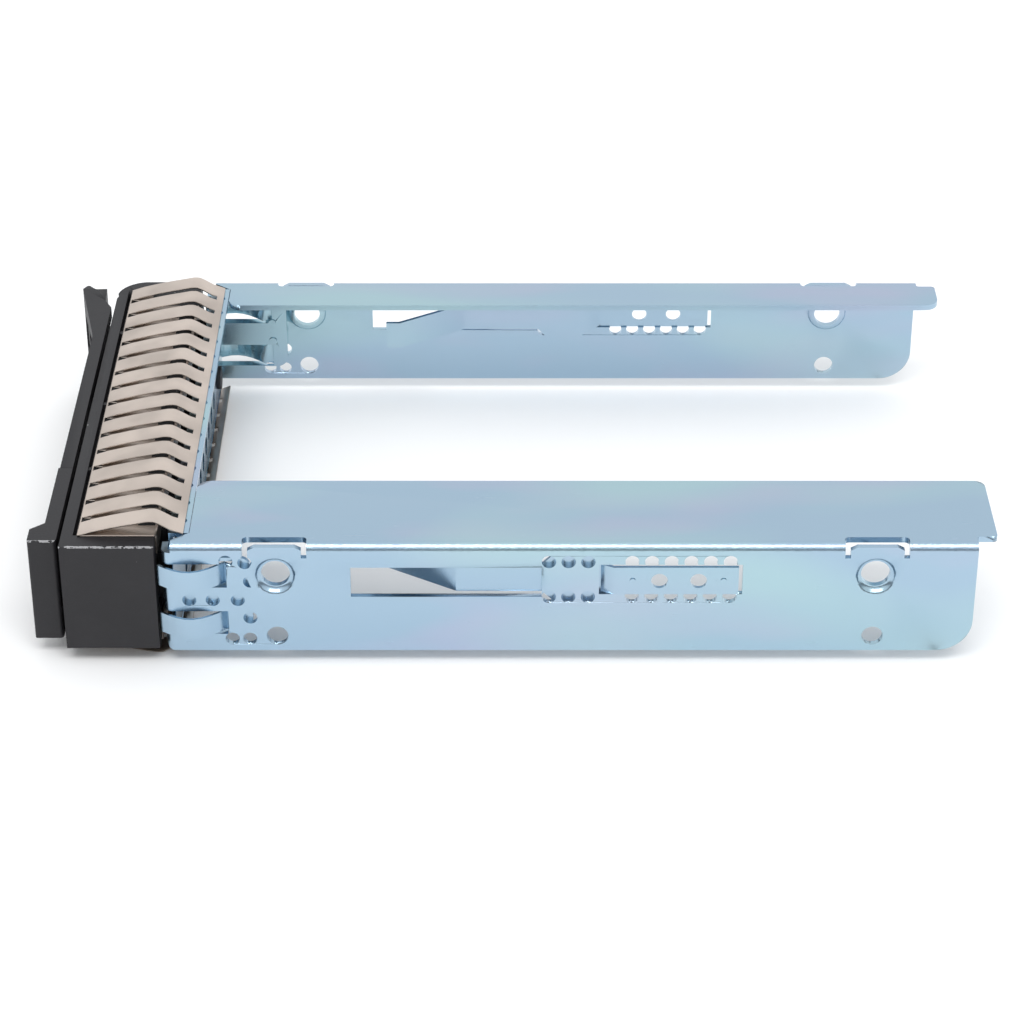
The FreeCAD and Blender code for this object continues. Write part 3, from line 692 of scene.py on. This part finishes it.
@dataclass(frozen=True)
class Datum:
    """The drawing's datum in the frame: X from the front drive screw, Z from the rails' lower edge."""

    x: float
    z: float
    half_width: float

    @staticmethod
    def of_frame() -> "Datum":
        """Read the datum from the near rail's box."""
        low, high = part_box("near_rail")
        return Datum(high[0] - REAR_FROM_SCREW_MM * MM, low[2], -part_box("bezel_frame")[0][1])

    def place(self, x_mm: float, y_mm: float, z_mm: float) -> Vector:
        """Turn a place from the datum, in millimetres, into the frame."""
        return Vector((self.x + x_mm * MM, y_mm * MM, self.z + z_mm * MM))

    def spot(self, co: Vector) -> Triple:
        """Read a place as X from the datum, distance in from the outer face, and height, in millimetres."""
        inward = (self.half_width - abs(co.y)) / MM
        return (co.x - self.x) / MM, inward, (co.z - self.z) / MM


@dataclass(frozen=True)
class Region:
    """Places on a rail, in millimetres from the datum, and the step that the vertices there take."""

    step: Triple
    x: Span = (-OPEN_MM, OPEN_MM)
    inward: Span = (-OPEN_MM, OPEN_MM)
    height: Span = (-OPEN_MM, OPEN_MM)

    def holds(self, spot: Triple) -> bool:
        """Tell whether a place lies in the region."""
        spans = (self.x, self.inward, self.height)
        return all(low < value < high for value, (low, high) in zip(spot, spans))


# Sub-assemblies


@dataclass
class Gaskets:
    """The two strips of bowed contact fingers, each folded from one spring sheet."""

    finishes: Finishes
    datum: Datum
    sheet_mm: float = 0.2
    near_mm: float = -34.2
    far_mm: float = 33.7
    fingers: int = 16
    gap_mm: float = 1.2
    tip_mm: float = -25.2
    tip_strip_mm: float = 0.15
    tip_strip_rise_mm: float = 0.03
    tip_notch_mm: float = 1.3
    slot_end_mm: float = -12.6
    slot_end_rise_mm: float = 0.35
    rest_mm: float = 15.8
    rise_mm: float = 2.1
    spine_mm: float = 16.12
    spine_rear_mm: float = -11.7
    window_mm: float = 2.6
    window_front_mm: float = -17.7
    window_rear_mm: float = -15.45
    skirt_x_mm: float = -15.2
    skirt_mm: float = 2.6
    corner_front_mm: float = -22.0
    corner_gap_mm: float = 0.6
    rail_height_mm: float = 16.0
    bow: tuple[Span, ...] = (
        (-23.4, 0.27),
        (-21.0, 0.55),
        (-19.2, 0.73),
        (-17.5, 0.88),
        (-16.45, 0.975),
        (-16.15, 1.0),
        (-15.55, 1.0),
        (-15.25, 0.97),
        (-14.6, 0.82),
        (-13.3, 0.44),
    )

    def slots(self) -> list[float]:
        """List the near edge of each slot."""
        pitch = (self.far_mm - self.near_mm + self.gap_mm) / self.fingers
        return [self.near_mm + i * pitch - self.gap_mm for i in range(1, self.fingers)]

    def finger_path(self) -> list[Span]:
        """Give the fingers' profile from tip to spine, in millimetres from the datum."""
        path = [(self.tip_mm, self.rest_mm)]
        path.append((self.tip_mm + self.tip_strip_mm, self.rest_mm + self.tip_strip_rise_mm))
        path.extend((x, self.rest_mm + self.rise_mm * share) for x, share in self.bow)
        path.append((self.slot_end_mm, self.spine_mm + self.slot_end_rise_mm))
        path.append((self.spine_rear_mm, self.spine_mm))
        return path

    def base_path(self) -> list[Span]:
        """Give the base sheet's profile from tip to the foot of its skirt."""
        stops = (self.tip_mm, self.tip_mm + self.tip_strip_mm, self.tip_mm + self.tip_notch_mm)
        stops += (self.corner_front_mm, self.window_front_mm, self.window_rear_mm, self.skirt_x_mm)
        path = [(x, self.rest_mm) for x in stops]
        path.append((self.skirt_x_mm, self.rest_mm - self.skirt_mm))
        return path

    def sheet(
        self,
        path: list[Span],
        stations: list[float],
        is_cut: Callable[[float, float], bool],
        turned: bool,
        shape: bmesh.types.BMesh,
    ) -> None:
        """Sweep a profile across the part and take out its openings.

        Args:
            path: the profile, x and z.
            stations: where the sweep stops, along y.
            is_cut: whether the sheet is open at x and y.
            turned: whether the strip is the one under the bezel.
            shape: the mesh to add it to.
        """
        points = [(x, self.rail_height_mm - z if turned else z) for x, z in path]
        row = [shape.verts.new(self.datum.place(x, stations[0], z)) for x, z in points]
        edges = [shape.edges.new(pair) for pair in zip(row, row[1:])]
        faces: list[bmesh.types.BMFace] = []
        for low, high in zip(stations, stations[1:]):
            grown = bmesh.ops.extrude_edge_only(shape, edges=edges)["geom"]
            verts = [item for item in grown if isinstance(item, bmesh.types.BMVert)]
            bmesh.ops.translate(shape, verts=verts, vec=(0.0, (high - low) * MM, 0.0))
            faces.extend(item for item in grown if isinstance(item, bmesh.types.BMFace))
            ends = set(verts)
            grown_edges = (item for item in grown if isinstance(item, bmesh.types.BMEdge))
            edges = [edge for edge in grown_edges if set(edge.verts) <= ends]
        opened = []
        for face in faces:
            middle = face.calc_center_median()
            if is_cut((middle.x - self.datum.x) / MM, middle.y / MM):
                opened.append(face)
        bmesh.ops.delete(shape, geom=opened, context="FACES")

    def in_slot(self, y: float, margin: float = 0.0) -> bool:
        """Tell whether y lies in a slot widened by a margin."""
        return any(low - margin < y < low + self.gap_mm + margin for low in self.slots())

    def finger_cut(self, x: float, y: float) -> bool:
        """Tell where the finger sheet is open."""
        return self.tip_mm + self.tip_strip_mm < x < self.slot_end_mm and self.in_slot(y)

    def base_cut(self, x: float, y: float) -> bool:
        """Tell where the base sheet is open."""
        if x > self.corner_front_mm and y > self.slots()[-1] - self.corner_gap_mm:
            return True
        if self.tip_mm + self.tip_strip_mm < x < self.tip_mm + self.tip_notch_mm:
            return self.in_slot(y)
        margin = (self.window_mm - self.gap_mm) / 2
        return self.window_front_mm < x < self.window_rear_mm and self.in_slot(y, margin)

    def strip(self, name: str, replaced: str, turned: bool) -> None:
        """Build one whole strip.

        Args:
            name: the piece's name.
            replaced: the node that it stands for.
            turned: whether it is the one under the bezel.
        """
        margin = (self.window_mm - self.gap_mm) / 2
        finger_stations = [self.near_mm, self.far_mm]
        base_stations = [self.near_mm, self.far_mm, self.slots()[-1] - self.corner_gap_mm]
        for low in self.slots():
            high = low + self.gap_mm
            finger_stations.extend([low, high])
            base_stations.extend([low - margin, low, high, high + margin])
        shape = bmesh.new()
        self.sheet(self.finger_path(), sorted(finger_stations), self.finger_cut, turned, shape)
        self.sheet(self.base_path(), sorted(base_stations), self.base_cut, turned, shape)
        loose = [vert for vert in shape.verts if not vert.link_faces]
        bmesh.ops.delete(shape, geom=loose, context="VERTS")
        bmesh.ops.recalc_face_normals(shape, faces=shape.faces)
        piece = finish_piece(shape, name, "tray", replaced)
        thick = piece.modifiers.new("sheet", "SOLIDIFY")
        thick.thickness = self.sheet_mm * MM
        thick.offset = 0.0
        thick.use_even_offset = True
        even_shading(piece)
        self.finishes.dress(piece, Slot.GASKET)

    def build(self) -> None:
        """Build both strips."""
        self.strip("top_strip", "top_gasket", False)
        self.strip("bottom_strip", "bottom_gasket", True)
        LOG.info("built both gasket strips")


@dataclass
class Tray:
    """The sheet work: rails, leaf springs and channel, with the forms that the plain nodes lack."""

    finishes: Finishes
    datum: Datum
    leaf_nodes: tuple[str, ...] = ("near_leaf_spring", "far_leaf_spring")
    flange_inner_mm: float = 3.65
    near_flange_extra_mm: float = 0.4
    far_flange_extra_mm: float = 2.2
    flange_level_mm: float = 15.0
    notch_x_mm: float = 89.35
    notch_inward_mm: Span = (2.55, 3.65)
    notch_step_mm: float = 1.0
    overhang_x_mm: float = 89.85
    overhang_inward_mm: float = 1.5
    overhang_step_mm: float = 0.5
    screw_x_mm: Span = (0.0, 76.6)
    slot_half_mm: float = 4.3
    slot_inward_mm: Span = (2.2, 2.95)
    slot_level_mm: float = 13.5
    slot_step_mm: float = 1.0
    tab_half_mm: float = 3.5
    tab_inward_mm: float = 0.9
    tab_side_mm: Span = (15.5, 16.2)
    tab_side_step_mm: float = 0.5
    tab_top_step_mm: float = 0.9
    channel_back_mm: float = -12.95
    channel_sheet_mm: float = 0.7
    channel_sharp_degrees: float = 10.0

    def beside_screws(self, half_mm: float) -> list[Span]:
        """List the spans of X beside the upper screw holes.

        Args:
            half_mm: half of a span's length.

        Returns:
            The spans.
        """
        return [(x - half_mm, x + half_mm) for x in self.screw_x_mm]

    def rail_regions(self, out: float, extra_mm: float) -> list[Region]:
        """List what moves on a rail, in the order in which it moves.

        Args:
            out: the sign of Y outwards.
            extra_mm: how much wider the flange is.

        Returns:
            The regions.
        """
        flange = (self.flange_level_mm, OPEN_MM)
        notch = (0.0, out * self.notch_step_mm, 0.0)
        overhang = (self.overhang_step_mm, 0.0, 0.0)
        regions = [
            Region(notch, (self.notch_x_mm, OPEN_MM), self.notch_inward_mm, flange),
            Region((0.0, -out * extra_mm, 0.0), inward=(self.flange_inner_mm, OPEN_MM), height=flange),
            Region(overhang, (self.overhang_x_mm, OPEN_MM), (self.overhang_inward_mm, OPEN_MM), flange),
        ]
        slot = (0.0, out * self.slot_step_mm, 0.0)
        for x in self.beside_screws(self.slot_half_mm):
            regions.append(Region(slot, x, self.slot_inward_mm, (self.slot_level_mm, OPEN_MM)))
        tab_top = (self.tab_side_mm[1], OPEN_MM)
        for x in self.beside_screws(self.tab_half_mm):
            inward = (-OPEN_MM, self.tab_inward_mm)
            regions.append(Region((0.0, 0.0, -self.tab_side_step_mm), x, inward, self.tab_side_mm))
            regions.append(Region((0.0, 0.0, -self.tab_top_step_mm), x, inward, tab_top))
        return regions

    def rail(self, node: bpy.types.Object, extra_mm: float) -> bpy.types.Object:
        """Widen a rail's flange and draw in its slots, tabs and rear notch.

        Args:
            node: the rail's node.
            extra_mm: how much wider the flange is.

        Returns:
            The rail that stands for the node.
        """
        shape = merged_copy(node)
        out = 1.0 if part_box(node.name)[0][1] > 0.0 else -1.0
        for region in self.rail_regions(out, extra_mm):
            shift(shape, lambda co: region.holds(self.datum.spot(co)), region.step)
        return finish_piece(shape, node.name + "_sheet", "tray", node.name)

    def channel(self, node: bpy.types.Object) -> bpy.types.Object:
        """Trim the channel's bottom flange, which the lower gasket's fingers stand in for.

        Args:
            node: the channel's node.

        Returns:
            The channel that stands for the node.
        """
        shape = merged_copy(node)
        back = self.datum.x + self.channel_back_mm * MM
        for vert in shape.verts:
            if self.datum.spot(vert.co)[2] < self.channel_sheet_mm and vert.co.x > back:
                vert.co.x = back
        bmesh.ops.dissolve_degenerate(shape, dist=SLIVER_LENGTH, edges=shape.edges)
        return finish_piece(shape, node.name + "_web", "tray", node.name, self.channel_sharp_degrees)

    def build(self, nodes: dict[str, bpy.types.Object]) -> None:
        """Build and dress the sheet metal.

        Args:
            nodes: the frame's nodes.
        """
        pieces = (
            self.rail(nodes["near_rail"], self.near_flange_extra_mm),
            self.rail(nodes["far_rail"], self.far_flange_extra_mm),
            self.channel(nodes["cross_channel"]),
        )
        for piece in pieces:
            even_shading(piece)
            self.finishes.dress(piece, Slot.ZINC)
            LOG.info("built %s", piece.name)
        for name in self.leaf_nodes:
            self.finishes.dress(nodes[name], Slot.SPRING)
            LOG.info("dressed %s", name)


@dataclass
class Front:
    """The bezel frame, the handle with its cover, the latch, the hinge and the light guides."""

    finishes: Finishes
    datum: Datum
    corner_mm: Span = (-22.9, 32.3)
    corner_radius_mm: float = 4.4
    corner_core_mm: float = 3.4
    corner_steps: int = 10
    groove_mm: Span = (-25.9, -24.3)
    groove_depth_mm: float = 6.2
    rib_moves_mm: tuple[Span, ...] = ((-21.6, 4.9), (-6.7, 7.5), (16.5, 5.0))
    rib_half_mm: float = 0.4
    tip_from_near_mm: float = 69.0
    tip_extra_mm: float = 1.4
    slots: dict[str, Slot] = field(
        default_factory=lambda: {
            "hinge_cover": Slot.HANDLE,
            "release_latch": Slot.LATCH,
            "hinge_pin": Slot.PIN,
            "handle_spring": Slot.PIN,
            "latch_spring": Slot.PIN,
            "activity_light_guide": Slot.GUIDE,
            "status_light_guide": Slot.GUIDE,
        }
    )

    def round_corner(self, shape: bmesh.types.BMesh) -> None:
        """Give the bezel's far front corner one radius, cut into even steps.

        Args:
            shape: the bezel in work.
        """
        centre = self.datum.place(self.corner_mm[0], self.corner_mm[1], 0.0)

        def at_corner(co: Vector) -> bool:
            """Tell whether a place lies in the corner's quadrant."""
            return co.x < centre.x and co.y > centre.y

        for i in range(1, self.corner_steps):
            angle = math.pi / 2 * (1 + i / self.corner_steps)
            faces = [face for face in shape.faces if any(at_corner(vert.co) for vert in face.verts)]
            parts = dict.fromkeys(item for face in faces for item in (face, *face.edges, *face.verts))
            across = (-math.sin(angle), math.cos(angle), 0.0)
            bmesh.ops.bisect_plane(shape, geom=list(parts), plane_co=centre, plane_no=across)
        for vert in shape.verts:
            arm = Vector((vert.co.x - centre.x, vert.co.y - centre.y, 0.0))
            if at_corner(vert.co) and arm.length > self.corner_core_mm * MM:
                vert.co.xy = (centre + arm.normalized() * self.corner_radius_mm * MM).xy

    def in_groove(self, co: Vector, y_mm: float, middle: float) -> bool:
        """Tell whether a place is on a groove rib.

        Args:
            co: the place.
            y_mm: where the rib stands.
            middle: the bezel's middle height.

        Returns:
            Whether it is.
        """
        front, rear = self.groove_mm
        return (
            front < self.datum.spot(co)[0] < rear
            and abs(co.z - middle) > self.groove_depth_mm * MM
            and abs(co.y - y_mm * MM) < self.rib_half_mm * MM
        )

    def bezel(self, node: bpy.types.Object) -> bpy.types.Object:
        """Round the bezel's far front corner and move its groove ribs to their places.

        Args:
            node: the bezel's node.

        Returns:
            The bezel that stands for the node.
        """
        shape = merged_copy(node)
        self.round_corner(shape)
        middle = (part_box(node.name)[0][2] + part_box(node.name)[1][2]) / 2
        for place, step in reversed(self.rib_moves_mm):
            shift(shape, lambda co: self.in_groove(co, place, middle), (0.0, step, 0.0))
        return finish_piece(shape, "bezel_shell", "tray", node.name)

    def handle(self, node: bpy.types.Object) -> bpy.types.Object:
        """Draw the pull tip out to its full length.

        Args:
            node: the handle's node.

        Returns:
            The handle that stands for the node.
        """
        shape = merged_copy(node)
        limit = self.tip_from_near_mm * MM - self.datum.half_width
        shift(shape, lambda co: co.y > limit, (0.0, self.tip_extra_mm, 0.0))
        return finish_piece(shape, "pull_handle", "handle", node.name)

    def build(self, nodes: dict[str, bpy.types.Object]) -> None:
        """Build and dress the front's pieces.

        Args:
            nodes: the frame's nodes.
        """
        pieces = (
            (self.bezel(nodes["bezel_frame"]), Slot.BEZEL),
            (self.handle(nodes["handle"]), Slot.HANDLE),
        )
        for piece, slot in pieces:
            even_shading(piece)
            self.finishes.dress(piece, slot)
            LOG.info("built %s", piece.name)
        for name, slot in self.slots.items():
            self.finishes.dress(nodes[name], slot)
            LOG.info("dressed %s", name)


# Studio


@dataclass
class Studio:
    """Pale floor, soft light and the photograph's camera."""

    eye_mm: Triple = (0.8, -366.5, 225.6)
    pitch_degrees: float = 31.41
    focal_pixels: float = 3073.0
    frame_pixels: int = 1024
    sensor_mm: float = 36.0
    clip: Span = (0.01, 20.0)
    floor_size: float = 4.0
    floor_gap: float = 0.00005
    floor_colour: Colour = (0.95, 0.95, 0.95, 1.0)
    floor_rough: float = 0.9
    key_place: Triple = (0.0, -0.52, 0.85)
    key_size: Span = (0.75, 0.3)
    key_power: float = 4.4
    pale: Colour = (0.97, 0.985, 1.0, 1.0)
    dim: Colour = (0.16, 0.17, 0.18, 1.0)
    dim_rise: Span = (0.42, 0.48)
    dim_fall: Span = (0.62, 0.72)
    front_fade: Span = (0.35, 0.55)

    def camera(self) -> None:
        """Place the camera at the photograph's viewing angle."""
        data = bpy.data.cameras.new("camera")
        data.sensor_width = self.sensor_mm
        data.sensor_height = self.sensor_mm
        data.sensor_fit = "HORIZONTAL"
        data.lens = self.sensor_mm * self.focal_pixels / self.frame_pixels
        data.clip_start, data.clip_end = self.clip
        camera = bpy.data.objects.new("camera", data)
        camera.location = Vector(self.eye_mm) * MM
        camera.rotation_euler = Euler((math.radians(90 - self.pitch_degrees), 0.0, 0.0))
        bpy.context.scene.collection.objects.link(camera)
        bpy.context.scene.camera = camera

    def key_light(self) -> None:
        """Add the soft area light, which faces the object."""
        data = bpy.data.lights.new("key", "AREA")
        data.shape = "RECTANGLE"
        data.size, data.size_y = self.key_size
        data.energy = self.key_power
        lamp = bpy.data.objects.new("key", data)
        lamp.location = self.key_place
        lamp.rotation_euler = (-Vector(self.key_place)).to_track_quat("-Z", "Y").to_euler()
        bpy.context.scene.collection.objects.link(lamp)

    def floor(self) -> None:
        """Lay the floor under the part."""
        shape = bmesh.new()
        bmesh.ops.create_grid(shape, x_segments=1, y_segments=1, size=self.floor_size / 2)
        mesh = bpy.data.meshes.new("floor")
        shape.to_mesh(mesh)
        shape.free()
        floor = bpy.data.objects.new("floor", mesh)
        floor.location = (0.0, 0.0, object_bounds()[0][2] - self.floor_gap)
        bpy.context.scene.collection.objects.link(floor)
        material, _, shader = plain_material("studio_floor")
        shader.inputs["Base Color"].default_value = self.floor_colour
        shader.inputs["Roughness"].default_value = self.floor_rough
        mesh.materials.append(material)
        floor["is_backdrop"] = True

    def world(self) -> None:
        """Fill the room with an even, pale light, with a darker band low in the front."""
        world = bpy.data.worlds.new("studio")
        world.use_nodes = True
        graph = Graph(world.node_tree)
        background = world.node_tree.nodes["Background"]
        parts = graph.parts(graph.add("ShaderNodeTexCoord").outputs["Generated"])
        height = graph.math("ADD", graph.product(parts["Z"], 0.5), 0.5)
        depth = graph.math("ADD", graph.product(parts["Y"], 0.5), 0.5)
        colours = (self.pale, self.dim, self.dim, self.pale)
        band = graph.ramp(height, list(zip((*self.dim_rise, *self.dim_fall), colours)))
        front = graph.ramp(depth, list(zip(self.front_fade, (WHITE, BLACK))))
        graph.link(graph.mix(front, self.pale, band), background.inputs["Color"])
        background.inputs["Strength"].default_value = 1.0
        bpy.context.scene.world = world

    def build(self) -> None:
        """Set up the whole studio."""
        self.world()
        self.floor()
        bpy.context.scene.view_settings.view_transform = "Standard"
        self.key_light()
        self.camera()


def main() -> None:
    """Load the frame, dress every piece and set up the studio."""
    logging.basicConfig(level=logging.INFO, format="%(message)s")
    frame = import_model()
    finishes = Finishes()
    datum = Datum.of_frame()
    Tray(finishes, datum).build(frame["nodes"])
    Gaskets(finishes, datum).build()
    Front(finishes, datum).build(frame["nodes"])
    Studio().build()


if __name__ == "__main__":
    main()
